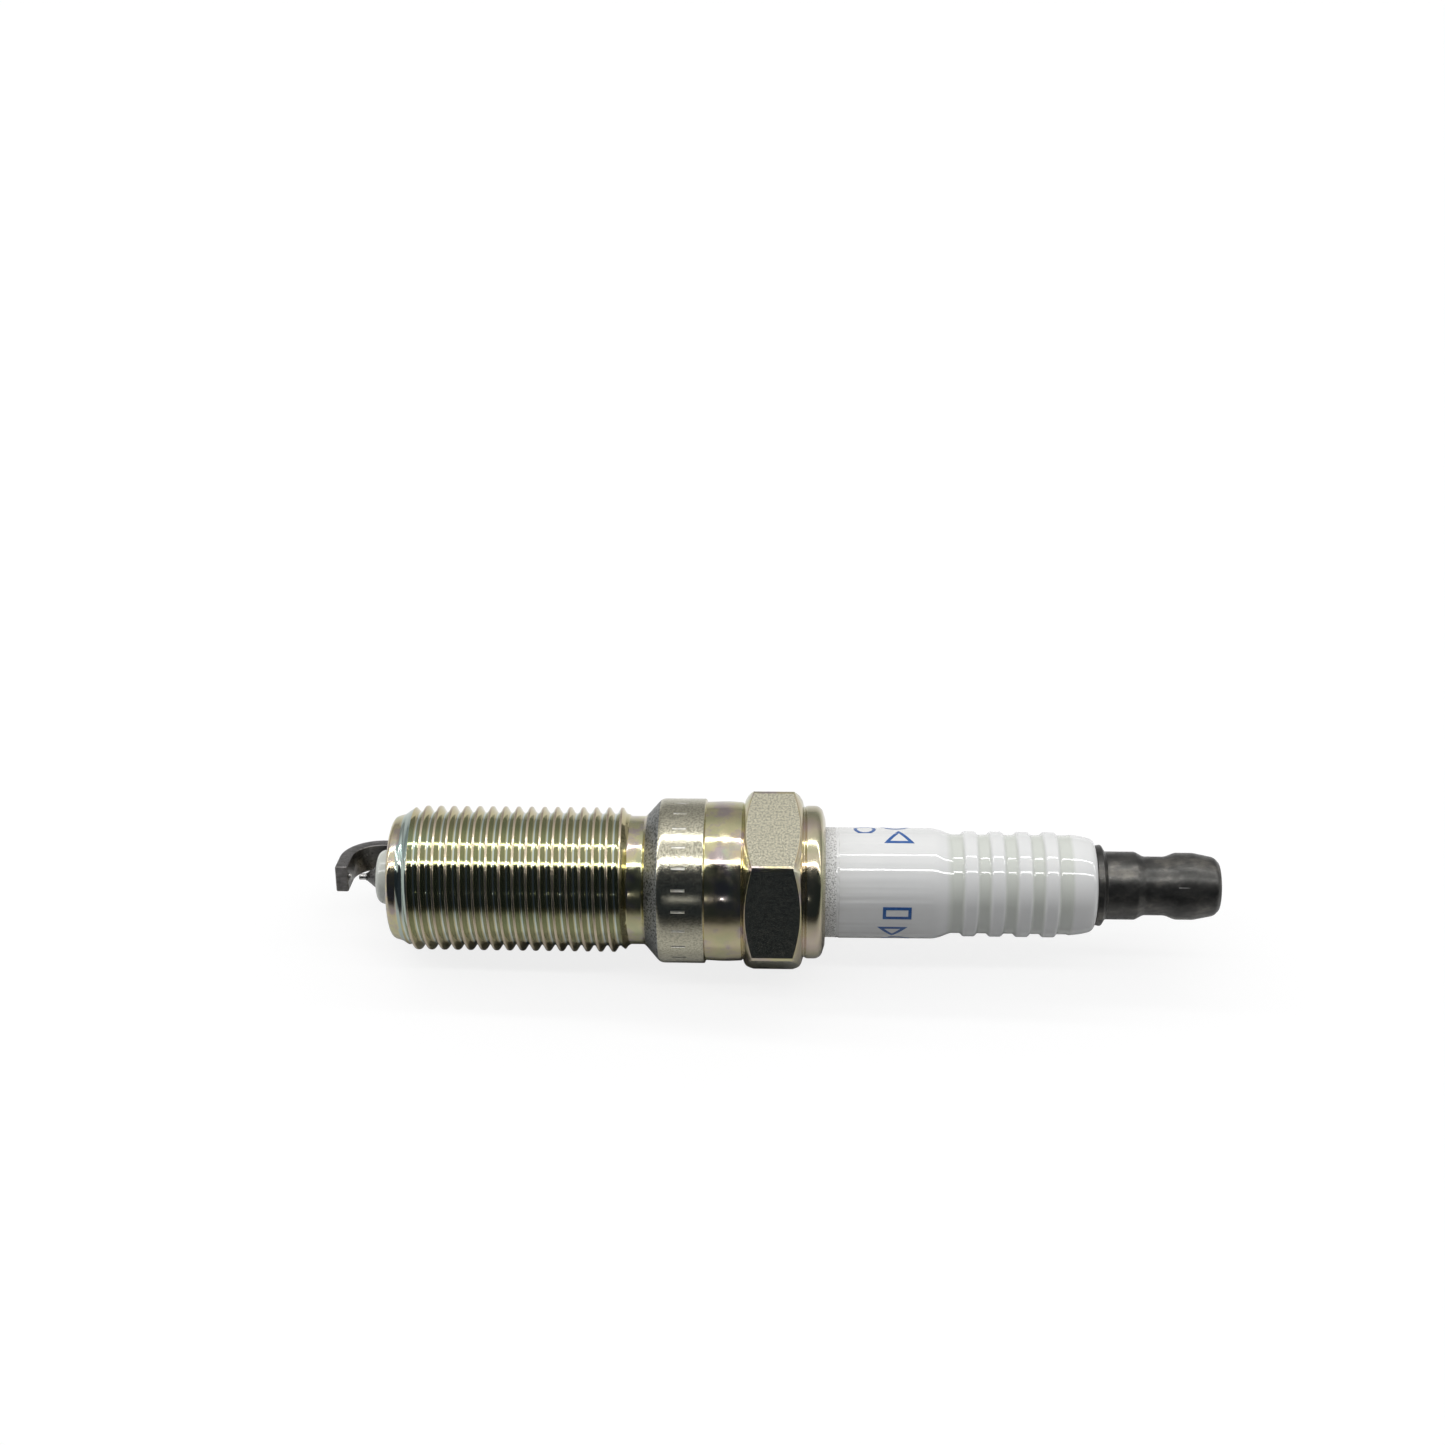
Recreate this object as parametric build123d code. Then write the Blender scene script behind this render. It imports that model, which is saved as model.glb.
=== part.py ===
from build123d import *
import os
from math import radians, tan

# Long-reach M14 spark plug with a conical seat and a solid terminal, in millimetres.
# The plug's axis is X: the sparking end points to -X and the terminal to +X.
# The origin is on the axis, in the gauge plane of the conical seat.
# Angles about X are measured from +Y towards +Z.

# ---- shell: thread, seat, collar, hexagon and crimp ----
THREAD_CREST_R = 6.90       # M14 external thread
THREAD_ROOT_R = 6.28
THREAD_PITCH = 1.25
THREAD_CREST_FLAT = 0.28    # axial width of the flat left on each crest
FLANK_ANGLE = 30.0          # of each flank, from the plane square to the axis
THREAD_CREST_X = -22.86     # a crest's middle, at THREAD_CREST_ANGLE about X
THREAD_CREST_ANGLE = 127.0
THREAD_START, THREAD_END = -24.0, -2.3

REACH = 25.0                # seat gauge plane to the shell's end
SHELL_END_R, SHELL_END_FILLET = 5.80, 0.70
SHELL_NOSE_R = 6.08         # plain band ahead of the first thread
PILOT_R = 6.13
SEAT_START, SEAT_END = -0.65, 0.70
SEAT_FILLET = 0.90          # between the cone and the collar
COLLAR_R, COLLAR_END = 7.85, 4.90
WAIST_R, WAIST_END = 7.58, 8.42
HEX_AF, HEX_START, HEX_END = 16.0, 8.66, 14.09
HEX_CORNER_R = 9.12         # the corners are turned down a little
HEX_FACE_R = 7.75           # where the 30 degree chamfers start
CRIMP_R, CRIMP_END = 7.28, 16.30
LIP_R = 5.40                # opening of the rolled lip round the insulator

CHAMBER_R = 4.25            # firing chamber round the insulator's nose
LEDGE_X, LEDGE_SLOPE = -13.40, 0.80     # inner ledge at CHAMBER_R, and its rise per mm
BODY_BORE_R = 5.00
CAGE_X, CAGE_R = 4.60, 6.15             # wide bore for the insulator's flange

# ---- ring of index dashes on the collar ----
DASH_COUNT, DASH_ANGLE = 24, 119.0
DASH_X, DASH_LENGTH, DASH_WIDTH, DASH_DEPTH = 2.60, 1.30, 0.24, 0.10

# ---- insulator ----
NOSE_TIP, NOSE_R = -26.60, 2.60
BODY_R = 4.90
FLANGE_R, FLANGE_START, FLANGE_END = 6.05, 5.75, 9.60
BARREL_R, BARREL_START, BARREL_END = 5.25, 10.35, 26.80
BARE_R, GLAZE_START = 5.22, 17.60        # bare ceramic below the glaze line
GLAZE_RUNOUT = 0.65         # the glaze thins out to nothing over this length
RIB_R, GROOVE_R = 5.00, 4.70
GROOVE_X, GROOVE_PITCH, GROOVE_COUNT = 28.68, 2.51, 5
GROOVE_TOP, GROOVE_BOTTOM = 1.44, 0.90  # groove widths
GROOVE_FILLET = 0.30
INSULATOR_END, END_R = 41.80, 4.66
SMALL_BORE_R, CAVITY_R = 1.25, 2.00
CAVITY_X = -10.0            # where the small bore opens into the cavity

# ---- packings between the shell and the insulator ----
PACKING_THICKNESS = 0.50
WIRE_RING_R = 0.42          # section of the two wire rings
LOWER_RING_X, UPPER_RING_X = 10.95, 14.15

# ---- electrodes ----
CONE_BASE_X, CONE_TIP_X, CONE_TIP_R = -26.65, -27.85, 0.36
HEAD_R, HEAD_END = 1.85, -8.60
CORE_R, CORE_START = 0.65, -25.60
WIRE_R, WIRE_LENGTH = 0.30, 1.10
SPARK_GAP = 0.80
STRAP_WIDTH, STRAP_THICKNESS = 2.65, 1.20
STRAP_TIP_X = -30.70        # outer face of the bent-over end
STRAP_MIDDLE_R = 4.95       # radius of the strap's middle at the weld
STRAP_BEND_R = 3.20         # of the strap's middle line
STRAP_OVERHANG = 0.70       # past the axis
STRAP_ANGLE = -27.0
PAD_R, PAD_HEIGHT = 0.36, 0.20

# ---- seals, resistor and terminal stud ----
RESISTOR_START, RESISTOR_END = -3.0, 9.0
SEAL_END = 15.0
STUD_TIP, KNURL_END = 11.5, 18.5
STEM_R, KNURL_R, KNURL_RINGS = 1.70, 1.92, 7
POST_FLANGE_R, POST_FLANGE_END = 3.90, 42.66
POST_BODY_R, POST_BODY_END = 3.23, 45.64
NECK_R, NECK_START, NECK_END = 2.79, 46.45, 48.50
POST_HEAD_R, POST_HEAD_START, POST_HEAD_END = 3.175, 49.45, 51.15
POST_END = 53.55


def turned(corners):
    """Solid of revolution about X from (x, radius, fillet) corners in order."""
    points = [(x, r) for x, r, fillet in corners]
    fillets = [fillet for x, r, fillet in corners]
    return revolve(make_face(FilletPolyline(*points, radius=fillets, close=True)), axis=Axis.X)


def tube(start, end, inner_r, outer_r):
    """Plain ring about X."""
    return turned([(start, inner_r, 0), (start, outer_r, 0), (end, outer_r, 0), (end, inner_r, 0)])


def rod(start, end, radius):
    """Plain cylinder about X."""
    return turned([(start, 0, 0), (start, radius, 0), (end, radius, 0), (end, 0, 0)])


def wire_ring(x):
    """Round wire bent into a ring, midway between the bare insulator and the shell."""
    section = Pos(x, (BARE_R + CAGE_R) / 2) * Circle(WIRE_RING_R)
    return revolve(section, axis=Axis.X)


# ---- shell ----
def shell_blank():
    """The turned blank: outside and stepped bore, before thread, hexagon and dashes."""
    chamfer = (HEX_CORNER_R + 0.1 - HEX_FACE_R) * tan(radians(30))
    outside = [
        (-REACH, CHAMBER_R, 0.1),
        (-REACH, SHELL_END_R, SHELL_END_FILLET),
        (THREAD_START, SHELL_NOSE_R, 0),
        (THREAD_START + 1.2, THREAD_CREST_R, 0),
        (THREAD_END - 0.6, THREAD_CREST_R, 0),
        (THREAD_END, PILOT_R, 0),
        (SEAT_START - 0.40, PILOT_R, 0.15),
        (SEAT_START, PILOT_R + 0.20, 0),
        (SEAT_END, COLLAR_R, SEAT_FILLET),
        (COLLAR_END, COLLAR_R, 0.10),
        (COLLAR_END + 0.15, WAIST_R, 0),
        (WAIST_END, WAIST_R, 0),
        (WAIST_END + 0.08, WAIST_R - 0.12, 0),
        (HEX_START - 0.08, WAIST_R - 0.12, 0),
        (HEX_START, HEX_FACE_R, 0),
        (HEX_START + chamfer, HEX_CORNER_R + 0.1, 0),
        (HEX_END - chamfer, HEX_CORNER_R + 0.1, 0),
        (HEX_END, HEX_FACE_R, 0),
        (HEX_END + 0.18, CRIMP_R - 0.16, 0.05),
        (HEX_END + 0.50, CRIMP_R, 0.3),
        (CRIMP_END - 0.45, CRIMP_R, 0.9),
        (CRIMP_END, LIP_R + 0.50, 0.3),
        (CRIMP_END - 0.20, LIP_R, 0.12),
    ]
    inside = [
        (CRIMP_END - 0.75, LIP_R, 0.2),
        (CRIMP_END - 1.35, CAGE_R, 0.3),
        (CAGE_X + CAGE_R - BODY_BORE_R, CAGE_R, 0),
        (CAGE_X, BODY_BORE_R, 0),
        (LEDGE_X + LEDGE_SLOPE * (BODY_BORE_R - CHAMBER_R), BODY_BORE_R, 0),
        (LEDGE_X, CHAMBER_R, 0),
    ]
    return turned(outside + inside)


def hexagon_waste():
    """What is milled away outside the wrench flats. Two flats lie square to Z."""
    section = Plane(origin=(HEX_START - 0.08, 0, 0), x_dir=(0, 1, 0), z_dir=(1, 0, 0))
    hexagon = RegularPolygon(HEX_AF / 2, 6, major_radius=False, rotation=0)
    kept = hexagon & Circle(HEX_CORNER_R)
    waste = Circle(HEX_CORNER_R + 2) - kept
    return extrude(section * waste, amount=HEX_END - HEX_START + 0.16)


def thread_grooves():
    """The V groove of the right-hand thread as one-turn lengths, laid end to end."""
    clear = 0.15
    flank = tan(radians(FLANK_ANGLE))
    crest_half = (THREAD_PITCH - THREAD_CREST_FLAT) / 2
    mouth_half = crest_half + clear * flank
    root_half = crest_half - (THREAD_CREST_R - THREAD_ROOT_R) * flank
    depth = THREAD_CREST_R + clear - THREAD_ROOT_R
    helix = Helix(THREAD_PITCH, THREAD_PITCH, THREAD_ROOT_R, direction=(1, 0, 0))
    outward = (helix @ 0).normalized()
    section = Plane(origin=helix @ 0, x_dir=(1, 0, 0), z_dir=Vector(1, 0, 0).cross(outward))
    outline = Polyline((-root_half, 0), (-mouth_half, depth), (mouth_half, depth), (root_half, 0), close=True)
    turn = sweep(section * make_face(outline), path=helix, is_frenet=True)
    # the helix starts at 90 degrees about X, and its grooves lie half a pitch from the crests
    first = THREAD_CREST_X - 2.5 * THREAD_PITCH - THREAD_PITCH * (THREAD_CREST_ANGLE - 90) / 360
    count = round((THREAD_END - first) / THREAD_PITCH) + 1
    return [Pos(first + THREAD_PITCH * k, 0, 0) * turn for k in range(count)]


def index_dashes():
    """Shallow dashes stamped along the axis, evenly round the collar."""
    dash = Box(DASH_LENGTH, 2 * DASH_DEPTH, DASH_WIDTH)
    dash = fillet(dash.edges().filter_by(Axis.Y), DASH_WIDTH * 0.45)
    dash = Pos(DASH_X, COLLAR_R, 0) * dash
    step = 360 / DASH_COUNT
    return [dash.rotate(Axis.X, DASH_ANGLE + step * k) for k in range(DASH_COUNT)]


def make_shell():
    return shell_blank() - hexagon_waste() - thread_grooves() - index_dashes()


# ---- insulator ----
def rib_corners():
    """Corners of the grooves between the ribs, from the barrel to the last rib."""
    corners = []
    for k in range(GROOVE_COUNT):
        x = GROOVE_X + GROOVE_PITCH * k
        before = BARREL_END if k == 0 else x - GROOVE_TOP / 2
        height = BARREL_R if k == 0 else RIB_R
        corners.append((before, height, GROOVE_FILLET))
        corners.append((x - GROOVE_BOTTOM / 2, GROOVE_R, GROOVE_FILLET))
        corners.append((x + GROOVE_BOTTOM / 2, GROOVE_R, GROOVE_FILLET))
        after = RIB_R if k < GROOVE_COUNT - 1 else END_R + 0.12
        corners.append((x + GROOVE_TOP / 2, after, GROOVE_FILLET))
    return corners


def make_insulator():
    shoulder = LEDGE_X + PACKING_THICKNESS
    lower = [
        (CAVITY_X + CAVITY_R - SMALL_BORE_R, CAVITY_R, 0),
        (CAVITY_X, SMALL_BORE_R, 0),
        (NOSE_TIP, SMALL_BORE_R, 0.1),
        (NOSE_TIP, NOSE_R - 0.1, 0.6),
        (-25.0, NOSE_R + 0.1, 0),
        (-15.2, 3.10, 1.5),
        (shoulder + LEDGE_SLOPE * (3.70 - CHAMBER_R), 3.70, 0),
        (shoulder + LEDGE_SLOPE * (BODY_R - CHAMBER_R), BODY_R, 0.2),
        (FLANGE_START - (FLANGE_R - BODY_R), BODY_R, 1.0),
        (FLANGE_START, FLANGE_R, 0.3),
        (FLANGE_END, FLANGE_R, 0.3),
        (BARREL_START, BARE_R, 0.5),
        (GLAZE_START - GLAZE_RUNOUT, BARE_R, 0),
        (GLAZE_START, BARREL_R, 0),
    ]
    end = [
        (INSULATOR_END, 4.46, 1.0),
        (INSULATOR_END, CAVITY_R, 0.15),
    ]
    return turned(lower + rib_corners() + end)


# ---- packings ----
def make_seat_packing():
    """Thin conical steel washer under the insulator's shoulder."""
    inner_r, outer_r = CHAMBER_R + 0.05, BODY_BORE_R - 0.05
    inner_x = LEDGE_X + LEDGE_SLOPE * (inner_r - CHAMBER_R)
    outer_x = LEDGE_X + LEDGE_SLOPE * (outer_r - CHAMBER_R)
    insulator_r = BODY_R - 0.10
    insulator_x = LEDGE_X + PACKING_THICKNESS + LEDGE_SLOPE * (insulator_r - CHAMBER_R)
    return turned([
        (inner_x, inner_r, 0),
        (outer_x, outer_r, 0),
        (insulator_x, outer_r, 0),
        (insulator_x, insulator_r, 0),
        (inner_x + PACKING_THICKNESS, inner_r, 0),
    ])


def make_talc_seal():
    """Pressed powder that fills the cage between the two wire rings."""
    return tube(LOWER_RING_X + WIRE_RING_R, UPPER_RING_X - WIRE_RING_R, BARE_R, CAGE_R)


# ---- electrodes ----
def make_centre_electrode():
    """Nickel-alloy sheath: a tapered tip, a shank and the head it hangs from."""
    blank = turned([
        (CONE_TIP_X, 0, 0),
        (CONE_TIP_X, CONE_TIP_R, 0.05),
        (CONE_BASE_X, SMALL_BORE_R, 0),
        (CAVITY_X, SMALL_BORE_R, 0),
        (CAVITY_X + HEAD_R - SMALL_BORE_R, HEAD_R, 0),
        (HEAD_END, HEAD_R, 0.3),
        (HEAD_END, 1.0, 0),
        (HEAD_END + 0.7, 0.95, 0),
        (HEAD_END + 0.7, 0, 0),
    ])
    return blank - make_centre_electrode_core() - make_centre_electrode_tip()


def make_centre_electrode_core():
    """Copper core, open at the head so that it meets the lower seal."""
    return turned([
        (CORE_START, 0, 0),
        (CORE_START, CORE_R, 0.3),
        (HEAD_END + 0.7, CORE_R, 0),
        (HEAD_END + 0.7, 0, 0),
    ])


def make_centre_electrode_tip():
    """Fine iridium wire let into the end of the sheath."""
    spark_face = STRAP_TIP_X + STRAP_THICKNESS + PAD_HEIGHT + SPARK_GAP
    return rod(spark_face, spark_face + WIRE_LENGTH, WIRE_R)


def make_ground_electrode():
    """Flat nickel-alloy strap, welded on the shell's end and bent over the axis."""
    half = STRAP_THICKNESS / 2
    inner_r, outer_r = STRAP_MIDDLE_R - half, STRAP_MIDDLE_R + half
    inner_x = STRAP_TIP_X + STRAP_THICKNESS
    bar = FilletPolyline(
        (-REACH, inner_r),
        (-REACH, outer_r),
        (STRAP_TIP_X, outer_r),
        (STRAP_TIP_X, -STRAP_OVERHANG),
        (inner_x, -STRAP_OVERHANG),
        (inner_x, inner_r),
        radius=[0, 0, STRAP_BEND_R + half, 0.25, 0.08, STRAP_BEND_R - half],
        close=True,
    )
    strap = extrude(make_face(bar), amount=STRAP_WIDTH / 2, both=True)
    long_edges = strap.edges().filter_by(lambda edge: abs(abs(edge.center().Z) - STRAP_WIDTH / 2) < 0.01)
    long_edges = long_edges.filter_by(lambda edge: edge.center().X < -REACH - 0.01)
    strap = fillet(long_edges, 0.12)
    return strap.rotate(Axis.X, STRAP_ANGLE)


def make_ground_electrode_pad():
    """Precious-metal disc on the strap's inner face, opposite the fine wire."""
    face = STRAP_TIP_X + STRAP_THICKNESS
    return rod(face, face + PAD_HEIGHT, PAD_R)


# ---- seals, resistor and terminal stud ----
def make_lower_seal():
    """Conductive glass between the centre electrode's head and the resistor."""
    filling = turned([
        (CAVITY_X + HEAD_R - SMALL_BORE_R, 0, 0),
        (CAVITY_X + HEAD_R - SMALL_BORE_R, HEAD_R, 0),
        (CAVITY_X + CAVITY_R - SMALL_BORE_R, CAVITY_R, 0),
        (RESISTOR_START, CAVITY_R, 0),
        (RESISTOR_START, 0, 0),
    ])
    head = rod(CAVITY_X, HEAD_END + 0.7, CORE_R)
    return filling - head - make_centre_electrode()


def make_resistor():
    return rod(RESISTOR_START, RESISTOR_END, CAVITY_R)


def make_upper_seal():
    """Conductive glass that grips the rolled end of the stud."""
    return rod(RESISTOR_END, SEAL_END, CAVITY_R) - make_terminal_stud()


def make_terminal_stud():
    """One steel pin: ringed end in the seal, stem, flange and terminal head."""
    ring = (KNURL_END - STUD_TIP) / KNURL_RINGS
    corners = [(STUD_TIP, 0, 0)]
    for k in range(KNURL_RINGS):
        x = STUD_TIP + ring * k
        corners.append((x, STEM_R, 0))
        corners.append((x + ring * 0.25, KNURL_R, 0))
        corners.append((x + ring * 0.75, KNURL_R, 0))
    corners += [
        (KNURL_END, STEM_R, 0),
        (INSULATOR_END, STEM_R, 0),
        (INSULATOR_END, POST_FLANGE_R - 0.12, 0.1),
        (POST_FLANGE_END - 0.25, POST_FLANGE_R, 0.15),
        (POST_FLANGE_END, POST_BODY_R + 0.15, 0.1),
        (POST_FLANGE_END + 0.15, POST_BODY_R, 0),
        (POST_BODY_END, POST_BODY_R, 0.3),
        (NECK_START, NECK_R, 0.6),
        (NECK_END, NECK_R, 0.8),
        (POST_HEAD_START, POST_HEAD_R, 0.4),
        (POST_HEAD_END, POST_HEAD_R, 0.4),
        (POST_END - 0.35, 2.72, 0.35),
        (POST_END, 2.30, 0.25),
        (POST_END, 0, 0),
    ]
    return turned(corners)


MAKERS = {
    "shell": make_shell,
    "insulator": make_insulator,
    "seat_packing": make_seat_packing,
    "lower_packing_ring": lambda: wire_ring(LOWER_RING_X),
    "talc_seal": make_talc_seal,
    "upper_packing_ring": lambda: wire_ring(UPPER_RING_X),
    "centre_electrode": make_centre_electrode,
    "centre_electrode_core": make_centre_electrode_core,
    "centre_electrode_tip": make_centre_electrode_tip,
    "ground_electrode": make_ground_electrode,
    "ground_electrode_pad": make_ground_electrode_pad,
    "lower_glass_seal": make_lower_seal,
    "resistor": make_resistor,
    "upper_glass_seal": make_upper_seal,
    "terminal_stud": make_terminal_stud,
}

os.makedirs("parts", exist_ok=True)
for node, maker in MAKERS.items():
    export_step(maker(), f"parts/{node}.step")
    print("wrote", node)
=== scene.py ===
# %% [markdown]
# # A spark plug, around its CAD frame
# The CAD model fixes every size and place. This lesson builds the visible pieces round it,
# gives each one its finish, and lights it on a pale studio table. The plug's axis is X, its
# sparking end points to -X, and one wrench flat faces up. Lengths are in metres, but a plug is
# small, so most cells name their sizes in millimetres and multiply by MM.

# %% Load the frame
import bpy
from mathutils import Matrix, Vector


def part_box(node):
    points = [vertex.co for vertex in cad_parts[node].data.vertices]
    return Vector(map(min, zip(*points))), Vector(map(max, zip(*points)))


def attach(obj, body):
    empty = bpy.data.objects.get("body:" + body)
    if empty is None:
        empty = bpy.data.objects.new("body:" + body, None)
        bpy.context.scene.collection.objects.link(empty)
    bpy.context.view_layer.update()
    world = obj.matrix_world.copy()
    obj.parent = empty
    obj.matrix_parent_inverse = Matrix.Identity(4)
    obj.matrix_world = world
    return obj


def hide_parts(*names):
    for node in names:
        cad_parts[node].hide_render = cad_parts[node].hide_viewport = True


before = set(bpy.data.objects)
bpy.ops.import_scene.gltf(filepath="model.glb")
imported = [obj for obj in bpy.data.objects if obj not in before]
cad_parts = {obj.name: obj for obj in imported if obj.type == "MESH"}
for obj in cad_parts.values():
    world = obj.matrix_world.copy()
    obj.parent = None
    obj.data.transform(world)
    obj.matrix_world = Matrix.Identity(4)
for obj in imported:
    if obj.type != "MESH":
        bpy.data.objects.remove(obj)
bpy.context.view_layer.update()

from math import acos, atan2, ceil, cos, degrees, hypot, pi, radians, sin, tan
import bmesh
import bpy
from mathutils import Matrix, Vector, noise

MM = 0.001
AROUND = 192            # steps of every turned surface
for node in sorted(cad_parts):
    low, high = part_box(node)
    print(f"{node:24s} x {low.x / MM:7.2f} to {high.x / MM:6.2f}, radius {high.y / MM:5.2f} mm")

# %% [markdown]
# ## Working like a lathe
# Nearly every piece of a plug is turned, drawn or pressed round one axis. In Blender, such a
# piece is a chain of vertices, the outline, swung round the axis with the Spin operator. The
# chain is drawn by hand-like steps: one vertex, extruded from corner to corner. Corners on a
# machined piece are never sharp, so a small helper rounds each corner with an arc first.

# %% Helpers: select nothing, draw an outline, spin it
def deselect_all():
    if bpy.context.mode != "OBJECT":
        bpy.ops.object.mode_set(mode="OBJECT")
    bpy.ops.object.select_all(action="DESELECT")


def rounded(corners, steps=6):
    """Points of an outline from (x, radius, fillet) corners, in millimetres."""
    points = []
    for i, (x, r, fillet) in enumerate(corners):
        here = Vector((x, r))
        before = Vector(corners[i - 1][:2])
        after = Vector(corners[(i + 1) % len(corners)][:2])
        if fillet <= 0:
            points.append((x, r))
            continue
        a = (before - here).normalized()
        b = (after - here).normalized()
        half = acos(max(-1, min(1, a.dot(b)))) / 2
        reach = min(fillet / tan(half), 0.48 * (before - here).length, 0.48 * (after - here).length)
        radius = reach * tan(half)
        centre = here + (a + b).normalized() * (radius / sin(half))
        start = here + a * reach - centre
        turn = start.angle_signed(here + b * reach - centre)
        for k in range(steps + 1):
            spoke = start.copy()
            spoke.rotate(Matrix.Rotation(-turn * k / steps, 2))
            points.append(tuple(centre + spoke))
    return points


def draw_outline(name, points, closed=True):
    """A chain of vertices in the XY plane, drawn by extruding one vertex from point to point."""
    deselect_all()
    x, r = points[0]
    bpy.ops.mesh.primitive_plane_add(size=MM, location=(x * MM, r * MM, 0))
    piece = bpy.context.object
    piece.name = name
    bpy.ops.object.transform_apply(location=True, rotation=False, scale=False)
    bpy.ops.object.mode_set(mode="EDIT")
    bpy.ops.mesh.select_mode(type="VERT")
    bpy.ops.mesh.merge(type="CENTER")
    for (x0, r0), (x1, r1) in zip(points, points[1:]):
        step = ((x1 - x0) * MM, (r1 - r0) * MM, 0)
        bpy.ops.mesh.extrude_vertices_move(TRANSFORM_OT_translate={"value": step})
    if closed:
        bpy.ops.mesh.select_all(action="DESELECT")
        edit = bmesh.from_edit_mesh(piece.data)
        ends = [v for v in edit.verts if len(v.link_edges) == 1]
        for v in ends:
            v.select = True
        bmesh.update_edit_mesh(piece.data)
        bpy.ops.mesh.edge_face_add()
    return piece


def spin_outline(piece, merge=1e-7):
    """Swings the drawn outline round the plug's axis, then welds the seam and the poles."""
    bpy.ops.mesh.select_all(action="SELECT")
    bpy.ops.mesh.spin(steps=AROUND, angle=2 * pi, center=(0, 0, 0), axis=(1, 0, 0))
    bpy.ops.mesh.select_all(action="SELECT")
    bpy.ops.mesh.remove_doubles(threshold=merge)
    bpy.ops.mesh.normals_make_consistent(inside=False)
    bpy.ops.object.mode_set(mode="OBJECT")
    return piece


def turned(name, corners, steps=6):
    """A turned piece from (x, radius, fillet) corners; an outline from axis to axis stays open."""
    hollow = corners[0][1] > 0
    return spin_outline(draw_outline(name, rounded(corners, steps), closed=hollow))


def smooth(piece, angle=32):
    """Smooth shading, kept sharp where faces meet at more than the angle."""
    deselect_all()
    piece.select_set(True)
    bpy.context.view_layer.objects.active = piece
    bpy.ops.object.shade_smooth_by_angle(angle=radians(angle))


def weigh_normals(piece):
    """Leans the normals towards the big faces, so that flats stay flat beside their small bevels."""
    modifier = piece.modifiers.new("normals", "WEIGHTED_NORMAL")
    modifier.keep_sharp = True
    deselect_all()
    bpy.context.view_layer.objects.active = piece
    bpy.ops.object.modifier_apply(modifier=modifier.name)


def report(piece):
    """Prints a finished piece's size and whether its mesh is closed."""
    edit = bmesh.new()
    edit.from_mesh(piece.data)
    loose = sum(1 for e in edit.edges if len(e.link_faces) != 2)
    volume = edit.calc_volume(signed=True) / MM ** 3
    edit.free()
    triangles = sum(len(p.vertices) - 2 for p in piece.data.polygons)
    print(f"{piece.name}: {triangles} triangles, {loose} open edges, volume {volume:.1f} mm3")


def hand_over(piece, slot, *nodes):
    """The piece rides on the plug and takes the place of CAD nodes. The slot argument is not used."""
    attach(piece, "root")
    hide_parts(*nodes)
    report(piece)

# %% [markdown]
# ## The rolled thread
# The shell carries a right-hand M14 thread with a pitch of 1.25 mm. It is rolled, not cut, so
# its crests and roots are softly rounded. A Boolean cut would leave ragged triangles, so the
# outline of one single pitch is drawn instead and the Screw modifier winds it along the axis.
# The wound surface is then squeezed under an envelope that fades the thread out at both ends.

# %% Thread: draw one pitch and wind it
PITCH = 1.25
CREST_R, APEX_R = 6.90, 6.06            # crest, and where the flanks would meet
ROOT_FILLET, CREST_HALF = 0.27, 0.10
CREST_X, CREST_ANGLE = -22.86, 127.0     # a crest's middle, at that angle about X
END_R, NOSE_BAND_R, PILOT_R = 5.80, 6.08, 6.13
SHELL_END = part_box("shell")[0].x / MM
THREAD_START, THREAD_END = -24.0, -2.3
TRIM_START, TRIM_END = THREAD_START - 0.10, THREAD_END + 0.10


def one_pitch(start):
    """Points of one thread form, root to root: 60 degree flanks, a round root and a narrow crest."""
    reach = PITCH / 2 - CREST_HALF
    crests = [start - reach, start + reach, start + PITCH - reach, start + PITCH + reach]
    corners = [(crests[0], CREST_R, 0), (start, APEX_R, ROOT_FILLET), (crests[1], CREST_R, 0.06),
               (crests[2], CREST_R, 0.06), (start + PITCH, APEX_R, ROOT_FILLET), (crests[3], CREST_R, 0)]
    return [(x, r) for x, r in rounded(corners, steps=4) if start - 1e-6 < x < start + PITCH + 1e-6]


def nose_band(x):
    """Radius of the slightly tapered plain band ahead of the thread."""
    return NOSE_BAND_R - (THREAD_START - x) * (NOSE_BAND_R - END_R) / (THREAD_START - SHELL_END)


def envelope(x):
    """Largest radius that the blank leaves for the thread at x, in millimetres."""
    if x < THREAD_START:
        return nose_band(x)
    if x < THREAD_START + 1.2:
        return NOSE_BAND_R + (CREST_R - NOSE_BAND_R) * (x - THREAD_START) / 1.2
    if x > THREAD_END - 0.6:
        share = max(0, (THREAD_END - x) / 0.6)
        return PILOT_R + (CREST_R - PILOT_R) * share
    return CREST_R


# the outline lies at 0 degrees about X, and one turn carries it one pitch along the axis
root_at_zero = CREST_X - PITCH / 2 - PITCH * CREST_ANGLE / 360
first_root = root_at_zero - PITCH * ceil((root_at_zero - THREAD_START + 1.5) / PITCH)
turns = ceil((THREAD_END + 1.0 - first_root) / PITCH)
thread = draw_outline("thread", one_pitch(first_root), closed=False)
bpy.ops.object.mode_set(mode="OBJECT")
screw = thread.modifiers.new("wind", "SCREW")
screw.axis = "X"
screw.angle = 2 * pi
screw.screw_offset = PITCH * MM
screw.iterations = turns
screw.steps = screw.render_steps = AROUND
screw.use_merge_vertices = True
screw.merge_threshold = 1e-7
bpy.ops.object.modifier_apply(modifier=screw.name)
for v in thread.data.vertices:
    radius = hypot(v.co.y, v.co.z)
    squeeze = min(1, envelope(v.co.x / MM) * MM / radius)
    v.co.y *= squeeze
    v.co.z *= squeeze
print("thread wound:", turns, "turns,", len(thread.data.vertices), "vertices")

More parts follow.
